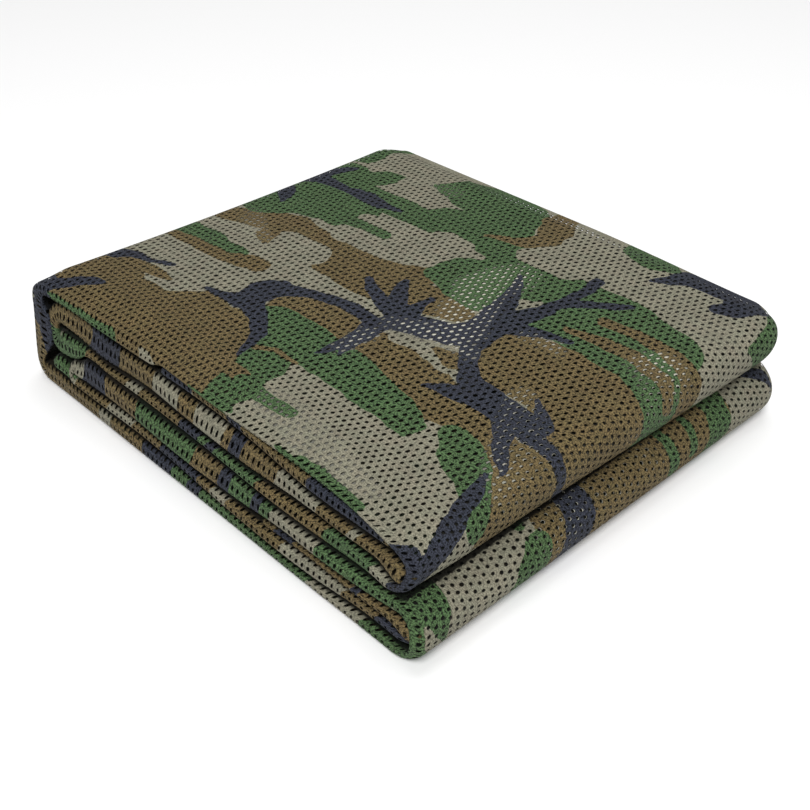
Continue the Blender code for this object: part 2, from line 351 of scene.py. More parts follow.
# Where the lips' print starts along the cloth, in metres, past the end of the main way.
LIP_STARTS = {"top_lip": 2.40, "lower_lip": 2.70, "left_lip": 2.90}


def lip_way(name):
    """The short way along an inner ply's lip."""
    rows = [(x, low, high - STRIP_GAP, setback) for x, low, high, setback in LIPS[name]]
    leg = {name: strip(rows, rows[0][0] / 1000, rows[-1][0] / 1000, 90)}
    return way_from(leg, leg, LIP_STARTS[name], LIP_SPREAD)


LIP_WAYS = {name: lip_way(name) for name in LIPS}


def leg_start(leg):
    return WAY["length"][WAY["legs"][leg][0]]


def leg_end(leg):
    return WAY["length"][WAY["legs"][leg][1]]


# ---- the way across the cloth ----

PLY_LENGTH = PLY_ROWS * ROW_PITCH
NEAR_FOLD_LENGTH = NEAR_FOLD_ROWS * ROW_PITCH
NEAR_FOLD_DEPTH = 0.0040
NEAR_FOLD_SQUARENESS = 2.7
NEAR_FOLD_USUAL_HALF = 0.0045
NEAR_FOLD_STEPS = 61
FAR_SELVEDGE_Y = NEAR_Y + NEAR_FOLD_DEPTH + PLY_LENGTH
FAR_FOLD_Y = FAR_Y - 0.0035
FAR_FOLD_DEPTH = 0.0030
FAR_FOLD_RADIUS = 0.0024
INNER_FOLD_DEPTH = 0.0006
INNER_STEPS = 13


def way_across():
    """Samples across the cloth: width so far, y, the share of the strip's half thickness, and an
    offset. The first ply ends in the near fold, and the plies below it go to and fro."""
    near_y = NEAR_Y + NEAR_FOLD_DEPTH
    turned = np.radians(np.linspace(90, -90, NEAR_FOLD_STEPS))
    power = 2 / NEAR_FOLD_SQUARENESS
    fold_y = near_y - NEAR_FOLD_DEPTH * np.abs(np.cos(turned)) ** power
    fold_share = np.sign(np.sin(turned)) * np.abs(np.sin(turned)) ** power
    fold_steps = np.hypot(np.diff(fold_y), np.diff(fold_share) * NEAR_FOLD_USUAL_HALF)
    fold_spread = np.concatenate([[0.0], np.cumsum(fold_steps)]) / fold_steps.sum()
    back = np.radians(np.linspace(-90, 90, INNER_STEPS))
    risen = (np.sin(back) + 1) / 2
    inner_width = FAR_FOLD_Y - near_y
    legs = [
        {"y": [FAR_SELVEDGE_Y, near_y], "share": [1, 1], "width": PLY_LENGTH},
        {"y": fold_y, "share": fold_share, "width": NEAR_FOLD_LENGTH, "spread": fold_spread},
        {"y": [near_y, FAR_FOLD_Y], "share": [-1, -1], "width": inner_width},
        {
            "y": FAR_FOLD_Y + FAR_FOLD_DEPTH * np.cos(back),
            "share": mix(-1, THIRD_PLY_SHARE, risen),
            "width": math.pi * FAR_FOLD_RADIUS,
        },
        {"y": [FAR_FOLD_Y, near_y], "share": [THIRD_PLY_SHARE] * 2, "width": inner_width},
        {
            "y": near_y - INNER_FOLD_DEPTH * np.cos(back),
            "share": mix(THIRD_PLY_SHARE, 1, risen),
            "drop": SECOND_PLY_GAP * risen,
            "width": ROW_PITCH,
        },
        {
            "y": [near_y, FAR_SELVEDGE_Y],
            "share": [1, 1],
            "drop": [SECOND_PLY_GAP] * 2,
            "width": PLY_LENGTH,
        },
    ]
    width, rows = 0.0, []
    for leg in legs:
        count = len(leg["y"])
        spread = width + leg["width"] * leg.get("spread", np.linspace(0, 1, count))
        rows.append(np.stack([spread, leg["y"], leg["share"], leg.get("drop", np.zeros(count))]))
        width += leg["width"]
    table = np.concatenate(rows, axis=1)
    return {"width": table[0], "y": table[1], "share": table[2], "drop": table[3]}


ACROSS = way_across()
CLOTH_WIDTH = ACROSS["width"][-1]
SECOND_PLY_START = CLOTH_WIDTH - PLY_LENGTH


# ---- how the bundle settles ----


def plan_corner_pull(x, y):
    """How far each point moves along the bundle so that its corners are round from above."""
    pull = np.zeros_like(x)
    for corner in PLAN_CORNERS:
        edge_y = FAR_Y if corner["side_y"] > 0 else -NEAR_Y
        into = (y * corner["side_y"] - (edge_y - corner["radius"])) / corner["radius"]
        into = np.clip(into, 0.0, CORNER_LIMIT)
        reach = np.maximum(x * corner["side_x"], 0.0) / ROLL_X
        pull -= corner["side_x"] * corner["radius"] * (1 - np.sqrt(1 - into * into)) * reach
    return pull


def roll_setback(x, y, z):
    """How far the upper roll lies back from the lower one."""
    upper = smooth(LOWER_ROLL_TOP, UPPER_ROLL_FOOT, z)
    rise = (z - UPPER_ROLL_FOOT) / (TOP_Z - UPPER_ROLL_FOOT)
    share = mix(1.0, ROLL_SETBACK_TOP_SHARE, np.clip(rise, 0.0, 1.0))
    skew = ROLL_SKEW * (1 - smooth(NEAR_Y, FAR_Y, y))
    reach = smooth(ROLL_SETBACK_FROM_X, ROLL_X + ROLL_SETBACK_PAST, x)
    return upper * (ROLL_SETBACK * share + skew) * reach


def settle(x, y, z):
    """Where points of the neatly folded bundle come to lie once it has settled."""
    height = smooth(FIRM_Z * LEAN_STARTS_SHARE, TOP_Z, z)
    bow = np.maximum(1 - (x / ROLL_X) ** 4, 0.0)
    near = 1 - smooth(NEAR_Y, NEAR_Y + LEAN_REACH, y)
    lean = LEAN * height * near * mix(LEAN_AT_ENDS_SHARE, 1.0, bow)
    wave = WAVE * near * np.sin(WAVE_TURNS["along"] * x + WAVE_TURNS["up"] * z)
    wave = wave * smooth(0.0, FIRM_Z, z) * smooth(SPINE_X, WAVE_FULL_FROM_X, x)
    loss = ROLL_DROP_SHARE * smooth(ROLL_DROP_FROM_X, ROLL_X, x)
    loss = loss + NEAR_CORNER_DROP_SHARE * smooth(0.0, ROLL_X, x) * (1 - smooth(NEAR_Y, 0.0, y))
    loose = np.maximum(z - FIRM_Z, 0.0)
    crowned = (1 - (x / ROLL_X) ** 2) * (1 - (y / FAR_Y) ** 2)
    rise = CROWN * loose / (TOP_Z - FIRM_Z) * crowned
    by_spine = 1 - smooth(SPINE_X, SPINE_X + SPINE_SAG_REACH, x)
    rise = rise - SPINE_SAG * by_spine * (1 - (y / FAR_Y) ** 2) * height
    strip_share = smooth(TOP_STRIP_LOW, TOP_Z, z)
    drop = mix(EDGE_DROP, EDGE_DROP_AT_ROLL, smooth(*EDGE_DROP_SPAN_X, x))
    drop_from_y = NEAR_Y + EDGE_DROP_FROM
    drop = drop * (1 - smooth(drop_from_y, drop_from_y + EDGE_DROP_REACH, y))
    drop = drop + FAR_DROP * smooth(FAR_Y - FAR_DROP_REACH, FAR_Y, y)
    sag_from, sag_to = ROLL_SAG_FROM_EDGE
    sag = ROLL_SAG * smooth(ROLL_SAG_FROM_X, ROLL_X, x) * smooth(NEAR_Y + sag_from, NEAR_Y + sag_to, y)
    sag = sag * np.exp(-(((z - UPPER_ROLL_FOOT) / ROLL_SAG_HEIGHT) ** 2))
    settled_x = x + plan_corner_pull(x, y) - roll_setback(x, y, z)
    settled_z = z - loss * loose + rise - drop * strip_share - sag
    return np.stack([settled_x, y + lean + wave, settled_z], axis=-1)


def laid(u, v, below=0.0, way=WAY):
    """Where the cloth's point u along and v across lies in the folded bundle, or a little below it."""
    y = np.interp(v, ACROSS["width"], ACROSS["y"])
    y = NEAR_Y + (y - NEAR_Y) * way["spread"]
    share = np.interp(v, ACROSS["width"], ACROSS["share"])
    offset = np.interp(v, ACROSS["width"], ACROSS["drop"])
    near = 1 - smooth(NEAR_Y + NEAR_STRIPS_REACH[0], NEAR_Y + NEAR_STRIPS_REACH[1], y)
    samples = [
        mix(np.interp(u, way["length"], there), np.interp(u, way["length"], here), near)
        for here, there in zip(way["near"], way["far"])
    ]
    x, z, angle, half, inset = samples
    angle = np.radians(angle)
    first, last = way["length"][0], way["length"][-1]
    end = np.clip(1 - np.minimum(u - first, last - u) / TONGUE_TAPER, 0.0, 1.0) ** 2
    reach = np.maximum(half * share - offset - below, -INNERMOST_SHARE * half)
    reach = reach * mix(1.0, TONGUE_END_SHARE, end)
    at_edge = 1 - smooth(NEAR_Y + TUCK_REACH[0], NEAR_Y + TUCK_REACH[1], y)
    y = y + (TONGUE_TUCK * end + inset) * at_edge
    return settle(x + np.cos(angle) * reach, y, z + np.sin(angle) * reach)


# ---- the cloth's meshes ----


def column_at(place):
    """The column of holes nearest to a place along the cloth."""
    return round(place / HOLE_PITCH)


# The pieces meet out of sight: inside the roll, under the bundle and inside the lower roll.
PAST_A_ROLL = 0.030
PAST_THE_FOOT = 0.020
LAST_COLUMN = int(CLOTH_LENGTH / HOLE_PITCH)
UPPER_RETURN_COLUMN = column_at(leg_end("upper_return") - PAST_A_ROLL)
GROUND_COLUMN = column_at(leg_end("spine_foot") + PAST_THE_FOOT)
COVER_COLUMN = column_at(leg_end("lower_roll") + PAST_A_ROLL)
EDGE_ROW = PLY_ROWS + NEAR_FOLD_ROWS + 2
STRETCH_REACH = 0.015  # how far from a roll its holes are still stretched
INSET = 0.3  # of a grid step, before each hole takes its own shape


def roll_share(u):
    """How far a place along the cloth lies on a roll, from 0 to 1."""
    shares = []
    for roll in ("upper_roll", "lower_roll"):
        begun = smooth(leg_start(roll) - STRETCH_REACH, leg_start(roll), u)
        ended = smooth(leg_end(roll), leg_end(roll) + STRETCH_REACH, u)
        shares.append(begun * (1 - ended))
    return float(max(shares))


def knit_patch(columns, rows, seed):
    """A flat patch of mesh cloth from one column and row to another, with its holes cut open.
    Its vertices are in metres along and across, and the third coordinate is 1 at a hole's rim."""
    wide, long = columns[1] - columns[0], rows[1] - rows[0]
    build = bmesh.new()
    bmesh.ops.create_grid(build, x_segments=2 * wide, y_segments=2 * long, size=0.5)
    centres = []
    for vertex in build.verts:
        along = round((vertex.co.x + 0.5) * 2 * wide) + 2 * columns[0]
        across = round((vertex.co.y + 0.5) * 2 * long) + 2 * rows[0]
        vertex.co = (along, across, 0)
        inside = 2 * columns[0] < along < 2 * columns[1]
        open_row = across % 2 == 1 and across > 2 * SELVEDGE_ROWS
        staggered = (along + (across - 1) // 2) % 2 == 1
        if inside and open_row and staggered:
            centres.append(vertex)
    bmesh.ops.dissolve_verts(build, verts=centres)
    cells = [face for face in build.faces if len(face.verts) == 8]
    bmesh.ops.inset_individual(build, faces=cells, thickness=INSET)
    chance = np.random.default_rng(seed)
    for cell in cells:
        centre = cell.calc_center_bounds()
        width, length, slant = chance.normal(1.0, HOLE_UNEVENNESS, 3)
        stretched = roll_share(centre.x * HOLE_PITCH / 2)
        hole = {size: mix(FLAT_HOLE[size], ROLL_HOLE[size], stretched) for size in FLAT_HOLE}
        for vertex in cell.verts:
            out = vertex.co - centre
            bearing = math.atan2(round(out.y * 2), round(out.x * 2))
            rise = math.sin(bearing) * length * 2 * hole["length"] / ROW_PITCH
            run = math.cos(bearing) * width * 2 * hole["width"] / HOLE_PITCH
            vertex.co.x = centre.x + run + hole["slant"] * slant * rise
            vertex.co.y = centre.y + rise
            vertex.co.z = 1
    bmesh.ops.delete(build, geom=cells, context="FACES_ONLY")
    bmesh.ops.scale(build, vec=(HOLE_PITCH / 2, ROW_PITCH / 2, 1), verts=build.verts)
    return build


def plain_patch(columns, width_from, width_to, steps):
    """A flat patch of cloth whose holes are hidden, in metres along and across."""
    build = bmesh.new()
    bmesh.ops.create_grid(build, x_segments=columns[1] - columns[0], y_segments=steps, size=0.5)
    middle = Vector(((columns[0] + columns[1]) / 2 * HOLE_PITCH, (width_from + width_to) / 2, 0))
    size = ((columns[1] - columns[0]) * HOLE_PITCH, width_to - width_from, 1)
    bmesh.ops.scale(build, vec=size, verts=build.verts)
    bmesh.ops.translate(build, vec=middle, verts=build.verts)
    return build


# How far in from the near and the far edge the painted shade in the crease between two strips begins and
# is full.
NEAR_CREASE_SHADE = (0.0004, NEAR_FOLD_DEPTH)
FAR_CREASE_SHADE = (0.0005, 0.0110)
OUTER_SHARE = 0.5  # the outer ply lies past this share of a strip's half thickness


def painted_crease_shade(u, v):
    """How much painted shade the cloth gets between two strips, from 0 at its near and far folds' noses to
    1.
    """
    y = np.interp(v, ACROSS["width"], ACROSS["y"])
    share = np.interp(v, ACROSS["width"], ACROSS["share"])
    outside = (u > leg_end("upper_return")) & (u < leg_end("lower_roll"))
    open_side = outside & (share > OUTER_SHARE)
    from_near = smooth(NEAR_Y + NEAR_CREASE_SHADE[0], NEAR_Y + NEAR_CREASE_SHADE[1], y)
    from_far = smooth(*FAR_CREASE_SHADE, FAR_Y - y)
    return np.where(open_side, 0.0, np.minimum(from_near, from_far))


NUDGE = 0.0004  # how far to either side of a point the cloth is looked at to find where it faces


def cloth_piece(name, build, material, across_start=0.0, second=False, way=WAY):
    mesh = bpy.data.meshes.new(name)
    build.to_mesh(mesh)
    build.free()
    flat = np.empty(len(mesh.vertices) * 3)
    mesh.vertices.foreach_get("co", flat)
    flat = flat.reshape(-1, 3)
    u, v, rim = flat[:, 0], flat[:, 1] + across_start, flat[:, 2]

    corner = np.empty(len(mesh.loops), dtype=np.int32)
    mesh.loops.foreach_get("vertex_index", corner)
    flat_map = mesh.uv_layers.new(name="cloth")
    flat_map.data.foreach_set("uv", np.stack([u, v], axis=1)[corner].astype(np.float32).ravel())
    below = second_ply_gap(u, v) if second else np.zeros(len(u))
    # pale is the second ply's share of its own colour; the rest is painted shade, near black, where it
    # lies deep.
    pale = second_ply_unshaded_share(u, v) if second else np.zeros(len(u))
    # The crease field is the mask of painted shade between the strips.
    fields = {"rim": rim, "pale": pale, "crease_shade": painted_crease_shade(u, v), **camouflage_fields(u, v)}
    for field, values in fields.items():
        layer = mesh.attributes.new(field, "FLOAT", "POINT")
        layer.data.foreach_set("value", values.astype(np.float32))

    if second:
        u = u + second_ply_slip(u, v)
    place = laid(u, v, below, way)
    along = laid(u + NUDGE, v, below, way) - laid(u - NUDGE, v, below, way)
    across = laid(u, v + NUDGE, below, way) - laid(u, v - NUDGE, below, way)
    outward = np.cross(along, across)
    outward /= np.maximum(np.linalg.norm(outward, axis=1, keepdims=True), 1e-12)
    mesh.vertices.foreach_set("co", place.astype(np.float32).ravel())
    mesh.update()
    mesh.shade_smooth()
    mesh.normals_split_custom_set_from_vertices(outward)
    mesh.materials.append(material)

    piece = bpy.data.objects.new(name, mesh)
    bpy.context.scene.collection.objects.link(piece)
    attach(piece, "root")
    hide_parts("net_cloth")
    return piece


# ---- the printed pattern ----

# Where the strokes' own measures start: across the cloth at the near crease, and along it at the
# top's left end and at the lower roll's nose.
NEAR_CREASE_V = PLY_LENGTH
PRINT_START_V = NEAR_CREASE_V - 0.0012
TOP_LEFT_U = leg_end("top")
LOWER_ROLL_U = leg_end("lower_roll") - 0.028


def strokes(colour, lines):
    """Strokes of one colour of the print, each along a line of points (along, up, half width) in
    millimetres."""
    return [{"colour": colour, "line": line} for line in lines]


# On the top and the upper roll, along runs from the top's left end, and up from its near crease.
TOP_STROKES = [
    *strokes("brown", [
        [(-12, 32, 30), (10, 26, 30), (48, 10, 35), (85, 27, 38), (108, 33, 31)],
        [(108, 33, 31), (124, 30, 26), (138, 8, 18)],
        [(96, 6, 14), (142, 8, 14)],
        [(-6, 134, 8), (25, 145, 13), (45, 151, 14), (60, 152, 9), (96, 149, 7)],
        [(108, 143, 20), (122, 144, 22), (140, 150, 18), (152, 164, 10)],
        [(104, 132, 12), (146, 134, 13)],
        [(178, 141, 8), (194, 145, 8)],
        [(117, 92, 9), (122, 82, 10)],
        [(128, 95, 12), (150, 94, 13), (163, 92, 10)],
        [(184, 94, 12), (205, 92, 13), (226, 88, 14), (246, 84, 15), (264, 84, 12)],
        [(264, 84, 12), (284, 80, 12), (300, 76, 14)],
        [(214, 108, 9), (222, 112, 8)],
        [(245, 136, 26), (266, 140, 29), (292, 140, 29), (318, 134, 26), (345, 118, 34)],
        [(290, 112, 14), (320, 108, 20), (345, 96, 30)],
        [(304, 82, 14), (318, 65, 24), (334, 60, 25), (350, 76, 28)],
        [(150, 140, 15), (170, 145, 13), (192, 148, 10)],
    ]),
    *strokes("green", [
        [(-8, 190, 26), (18, 186, 22), (45, 186, 20), (64, 190, 14)],
        [(-8, 165, 14), (10, 161, 14), (25, 170, 10)],
        [(0, 228, 14), (22, 230, 14), (34, 238, 11), (35, 248, 9)],
        [(20, 220, 10), (60, 213, 12), (96, 214, 12), (146, 220, 15), (188, 220, 14)],
        [(188, 218, 14), (212, 208, 18), (250, 215, 15), (282, 213, 16), (300, 205, 12)],
        [(78, 262, 18), (108, 266, 24), (128, 262, 24), (142, 242, 18)],
        [(100, 226, 12), (122, 234, 16)],
        [(164, 182, 18), (186, 186, 20), (176, 206, 16), (205, 196, 12)],
        [(155, 170, 9), (172, 168, 12), (192, 168, 12)],
        [(240, 190, 22), (270, 194, 18), (300, 188, 14), (326, 174, 12)],
        [(232, 172, 10), (262, 174, 7), (290, 174, 6), (315, 164, 8), (342, 156, 7)],
        [(345, 214, 12), (338, 200, 5)],
        [(124, 72, 11), (150, 68, 17), (175, 68, 15), (205, 66, 13), (236, 61, 13)],
        [(236, 61, 12), (249, 58, 8)],
        [(148, 58, 14), (157, 38, 15), (160, 12, 14), (163, -2, 12)],
        [(266, 70, 8), (277, 65, 12), (291, 57, 11), (304, 46, 10), (320, 36, 7)],
        [(-4, 106, 9), (18, 108, 9), (38, 105, 6), (54, 104, 5)],
        [(-8, 284, 14), (-4, 258, 13)],
        [(346, 278, 14), (322, 276, 15), (326, 258, 12), (324, 247, 8)],
    ]),
    *strokes("khaki", [
        [(60, 134, 11), (86, 133, 12)],
        [(-8, 120, 7), (30, 120, 7), (60, 117, 8), (110, 115, 6), (150, 115, 4)],
        [(88, 112, 7), (98, 104, 4)],
        [(-8, 78, 10), (25, 78, 11), (60, 80, 12), (82, 88, 12)],
        [(70, 68, 10), (58, 54, 8), (42, 51, 5)],
        [(126, 202, 11), (136, 199, 13), (128, 190, 16), (96, 190, 9), (74, 189, 7)],
        [(124, 190, 15), (126, 175, 13), (100, 168, 11), (80, 163, 8)],
        [(30, 280, 20), (45, 268, 16), (24, 258, 10), (18, 246, 6)],
        [(56, 272, 18), (54, 252, 9), (64, 240, 12), (82, 236, 11)],
        [(182, 280, 14), (192, 262, 16), (200, 240, 20), (178, 227, 11), (202, 228, 10)],
        [(192, 262, 16), (222, 254, 13), (262, 246, 16), (300, 238, 17), (318, 226, 14)],
        [(318, 226, 14), (340, 236, 20)],
        [(186, 105, 3), (202, 109, 4), (210, 106, 3), (226, 102, 2)],
        [(213, 122, 3), (214, 126, 1.5)],
        [(186, 30, 15), (215, 28, 24), (250, 26, 26), (280, 22, 26), (300, 14, 22)],
        [(200, 6, 12), (176, 3, 5)],
        [(258, 50, 7), (256, 66, 2)],
        [(333, 14, 10), (346, 40, 12)],
    ]),
    *strokes("brown", [
        [(-2, 94, 4), (25, 95, 5), (50, 96, 5), (64, 101, 7), (76, 103, 6)],
        [(46, 132, 8), (52, 125, 3)],
        [(15, 50, 9), (34, 56, 5), (52, 57, 2)],
        [(154, 288, 9), (157, 272, 9), (166, 259, 10), (170, 248, 9), (164, 237, 7)],
        [(164, 237, 7), (154, 231, 4), (141, 226, 2)],
        [(252, 201, 4), (275, 205, 5), (305, 199, 6), (328, 190, 9), (345, 186, 9)],
        [(243, 179, 3), (262, 184, 5), (282, 186, 5), (306, 181, 5), (322, 174, 4)],
        [(146, 20, 7), (156, 20, 6)],
        [(143, 47, 2.5), (152, 53, 2), (170, 53, 1.5)],
    ]),
    *strokes("green", [
        [(64, 180, 6), (84, 181, 4.5), (97, 181, 4)],
        [(20, 170, 8), (48, 172, 5), (62, 172, 4)],
        [(214, 279, 9), (226, 275, 9), (240, 280, 8)],
        [(163, 16, 8), (184, 17, 4.5), (198, 18, 4)],
        [(226, -4, 4), (240, -3, 4.5), (272, -4, 4)],
    ]),
    *strokes("black", [
        [(75, 65, 1.5), (90, 67, 4), (101, 73, 9), (100, 86, 11), (102, 98, 5)],
        [(100, 90, 10), (118, 101, 5), (138, 108, 4.5), (153, 109, 5), (164, 112, 9)],
        [(104, 74, 8), (120, 66, 5.5), (133, 56, 4.5), (138, 46, 3.5), (141, 34, 1.5)],
        [(148, 149, 3), (154, 139, 4.5), (163, 129, 6), (172, 122, 9)],
        [(132, 136, 2.5), (141, 131, 4), (152, 126, 5), (168, 121, 7)],
        [(173, 146, 3), (172, 136, 4), (176, 126, 7)],
        [(166, 112, 9), (184, 122, 10), (204, 128, 9), (214, 140, 11), (212, 156, 11)],
        [(172, 110, 8), (172, 98, 6.5), (173, 84, 5.5), (171, 72, 2.5), (170, 66, 1)],
        [(175, 82, 4), (179, 73, 1)],
        [(187, 201, 2), (195, 193, 4), (200, 182, 5), (204, 168, 6), (210, 156, 9)],
        [(221, 232, 4), (224, 216, 4), (225, 202, 4), (223, 186, 5), (217, 168, 8)],
        [(226, 198, 3.5), (236, 209, 4), (244, 216, 4), (251, 224, 2.5)],
        [(252, 170, 2), (240, 166, 3.5), (226, 160, 6), (216, 156, 9)],
        [(216, 140, 9), (221, 127, 6), (229, 117, 5.5), (238, 108, 6.5), (252, 102, 9)],
        [(252, 102, 9), (268, 101, 9), (284, 101, 8.5), (300, 96, 5), (318, 93, 3.5)],
        [(318, 93, 4), (332, 93, 3), (345, 104, 4)],
        [(228, 86, 1.5), (236, 93, 4), (248, 98, 7)],
        [(275, 120, 1.5), (283, 114, 3.5), (294, 106, 4.5)],
        [(276, 96, 7), (286, 84, 5), (295, 75, 4), (304, 67, 1.5)],
        [(-8, 206, 8), (2, 212, 6), (30, 211, 3.5), (48, 212, 7), (64, 209, 5)],
        [(64, 209, 4), (80, 211, 1.5)],
        [(6, 236, 3), (0, 226, 6), (-6, 210, 8)],
        [(-6, 186, 7), (4, 179, 5), (12, 170, 1.5)],
        [(241, 256, 2.5), (249, 264, 5), (255, 277, 9), (280, 280, 10), (296, 282, 13)],
        [(292, 278, 13), (290, 264, 8), (284, 259, 6)],
        [(-12, 4, 8), (0, 1, 6), (10, 10, 5), (20, 20, 5), (26, 23, 3)],
        [(-10, 54, 7), (0, 55, 6), (8, 61, 3.5), (22, 63, 2.5), (38, 68, 1.5)],
        [(298, 61, 1.5), (302, 51, 4), (306, 36, 5.5), (313, 22, 6.5), (319, 9, 7)],
        [(319, 9, 7), (330, -3, 8)],
    ]),
    *strokes("khaki", [
        [(140, 117, 3.5), (156, 116, 3), (167, 115, 2)],
    ]),
]

# On the lower roll, along runs up from the floor round its nose, and up from the near crease.
LOWER_ROLL_STROKES = [
    *strokes("brown", [
        [(-16, 100, 30), (6, 100, 30), (34, 100, 30)],
        [(-16, 150, 40), (6, 150, 40), (34, 150, 40)],
        [(-16, 200, 40), (6, 200, 40), (34, 200, 40)],
    ]),
    *strokes("khaki", [
        [(-12, 34, 22), (4, 38, 21), (20, 48, 29), (35, 52, 30)],
    ]),
    *strokes("green", [
        [(-12, 2, 10), (8, 3, 12), (20, 4, 12), (34, 5, 12)],
    ]),
    *strokes("khaki", [
        [(12, 1, 1), (5, 3, 3.5), (-3, 6, 5)],
    ]),
    *strokes("green", [
        [(18, 76, 3), (13, 76, 8), (4, 70, 11), (-12, 66, 12)],
        [(36, 76, 5), (28, 74, 3)],
    ]),
    *strokes("black", [
        [(-14, 94, 12), (0, 101, 11.5), (10, 105, 10.5), (20, 108, 10), (34, 109, 9.5)],
    ]),
    *strokes("green", [
        [(0, 179, 5), (9, 181, 4.5), (20, 182, 3.5), (34, 180, 3)],
        [(4, 197, 3), (12, 200, 3), (20, 202, 3), (27, 201, 2.5), (34, 198, 2.5)],
        [(-14, 212, 10), (0, 219, 10), (8, 223, 10), (18, 225, 8.5), (34, 228, 13)],
    ]),
    *strokes("khaki", [
        [(-14, 252, 28), (6, 260, 26), (20, 262, 26), (34, 270, 28)],
    ]),
    *strokes("black", [
        [(9, 274, 1.5), (17, 272, 3.5), (25, 267, 4.5), (34, 260, 6), (44, 252, 6)],
    ]),
]

# The print round the near folds: where each colour begins along a strip, in millimetres from the
# bundle's middle, or as a share of the way round a turn.
STRIP_PRINT = {
    "upper_tongue": [
        (-170, "brown"), (-107, "black"), (-80, "brown"), (-46, "khaki"), (-21, "brown"), (-7, "khaki"),
        (18, "brown"), (24, "black"), (33, "brown"), (61, "khaki"), (95, "brown"), (121, "khaki"),
        (127, "brown"),
    ],
    "upper_return": [
        (-140, "green"), (-112, "brown"), (-72, "khaki"), (-59, "brown"), (-22, "black"), (-3, "green"),
        (4, "black"), (11, "green"), (47, "brown"), (104, "green"), (141, "khaki"),
    ],
    "top": [
        (-170, "black"), (-147, "green"), (-80, "brown"), (-58, "khaki"), (-44, "brown"), (-8, "green"),
        (22, "khaki"), (62, "green"), (128, "khaki"), (152, "black"),
    ],
    "ground": [
        (-170, "brown"), (-98, "khaki"), (-84, "brown"), (-53, "black"), (-24, "green"), (-10, "black"),
        (1, "green"), (92, "khaki"), (130, "green"),
    ],
    "lower_cover": [
        (-130, "khaki"), (-113, "black"), (-90, "brown"), (-57, "green"), (-4, "brown"), (20, "black"),
        (29, "green"), (46, "black"), (53, "green"), (61, "khaki"), (97, "green"),
    ],
    "lower_tongue": [
        (-130, "brown"), (-88, "khaki"), (-62, "brown"), (-35, "black"), (2, "brown"), (14, "khaki"),
        (27, "brown"), (70, "khaki"), (116, "brown"), (138, "black"),
    ],
}
TURN_PRINT = {
    "upper_fold": [(0.0, "brown"), (0.45, "green")],
    "upper_roll": [(0.0, "khaki"), (0.12, "black")],
    "spine_top": [(0.0, "black")],
    "spine": [(0.0, "black"), (0.35, "brown")],
    "spine_foot": [(0.0, "brown")],
    "lower_roll": [(0.0, "green")],
    "lower_fold": [(0.0, "khaki")],
}
LIP_PRINT = {
    "top_lip": [
        (-50, "black"), (-12, "brown"), (20, "black"), (32, "brown"), (84, "black"), (143, "brown"),
        (152, "black"),
    ],
    "lower_lip": [(50, "brown"), (64, "black"), (78, "brown"), (122, "black"), (127, "brown")],
    "left_lip": [(-150, "green")],
}
# How far up from the near crease the middle of each near fold's band of print lies, and how far the
# band reaches to either side, in millimetres.
FOLD_LINE = {"middle": -5, "reach": 14}
OTHER_FOLD_LINES = {
    "top": {"middle": -13, "reach": 9},
    "upper_roll": {"middle": -7, "reach": 9},
    "spine_top": {"middle": -12, "reach": 9},
    "lower_roll": {"middle": -9, "reach": 9},
}
# On the spine, along runs down from its top.
SPINE_STROKES = [
    *strokes("brown", [[(12, 8, 8), (40, 8, 8)]]),
    *strokes("black", [[(2, -12, 8), (16, -13, 7), (24, -15, 6)]]),
]
LAST_RUN_PAST = 0.02  # how far past the end of the cloth or a lip its last run of colour goes on


def near_fold_runs():
    """The near folds' print as runs of one colour: start and end along the cloth, in millimetres."""
    starts = []
    for name, (first, last) in WAY["legs"].items():
        x = WAY["near"][0][first : last + 1]
        length = WAY["length"][first : last + 1]
        if name in STRIP_PRINT:
            order = np.argsort(x)
            marks = [
                (np.interp(at / 1000, x[order], length[order]), colour)
                for at, colour in STRIP_PRINT[name]
            ]
            if x[-1] < x[0]:
                colours = [colour for _, colour in marks][::-1]
                edges = [length[0]] + [place for place, _ in marks][:0:-1]
                marks = list(zip(edges, colours))
        else:
            marks = [(mix(length[0], length[-1], share), colour) for share, colour in TURN_PRINT[name]]
        starts += [(max(place, length[0]), colour, name) for place, colour in marks]
    ends = [place for place, _, _ in starts[1:]] + [CLOTH_LENGTH + LAST_RUN_PAST]
    for name, way in LIP_WAYS.items():
        x, length = way["near"][0], way["length"]
        marks = [(np.interp(at / 1000, x, length), colour, name) for at, colour in LIP_PRINT[name]]
        starts += marks
        ends += [place for place, _, _ in marks[1:]] + [length[-1] + LAST_RUN_PAST]
    return [
        {"start": start * 1000, "end": end * 1000, "colour": colour, "strip": name}
        for (start, colour, name), end in zip(starts, ends)
        if end > start
    ]


NEAR_FOLD_RUNS = near_fold_runs()
LUMPS = 64  # cells of noise before it repeats


def smooth_lumps(u, v, cell, seed):
    """Smooth noise from -1 to 1 with lumps of about one cell, the same on each run."""
    table = np.random.default_rng(seed).uniform(-1, 1, (LUMPS, LUMPS))
    along, across = u / cell, v / cell
    i, j = np.floor(along).astype(int), np.floor(across).astype(int)
    s, t = smooth(0, 1, along - i), smooth(0, 1, across - j)
    this_i, next_i = i % LUMPS, (i + 1) % LUMPS
    this_j, next_j = j % LUMPS, (j + 1) % LUMPS
    near = mix(table[this_i, this_j], table[next_i, this_j], s)
    far = mix(table[this_i, next_j], table[next_i, next_j], s)
    return mix(near, far, t)


def stroke_depth(a, b, line):
    """How deep each point lies inside a stroke, in millimetres, and less than 0 outside it."""
    depth = np.full(a.shape, -1e3)
    for (ax, ay, start), (bx, by, end) in zip(line, line[1:]):
        run, rise = bx - ax, by - ay
        span = max(run**2 + rise**2, 1e-9)
        share = np.clip(((a - ax) * run + (b - ay) * rise) / span, 0.0, 1.0)
        away = np.hypot(a - ax - share * run, b - ay - share * rise)
        depth = np.maximum(depth, mix(start, end, share) - away)
    return depth


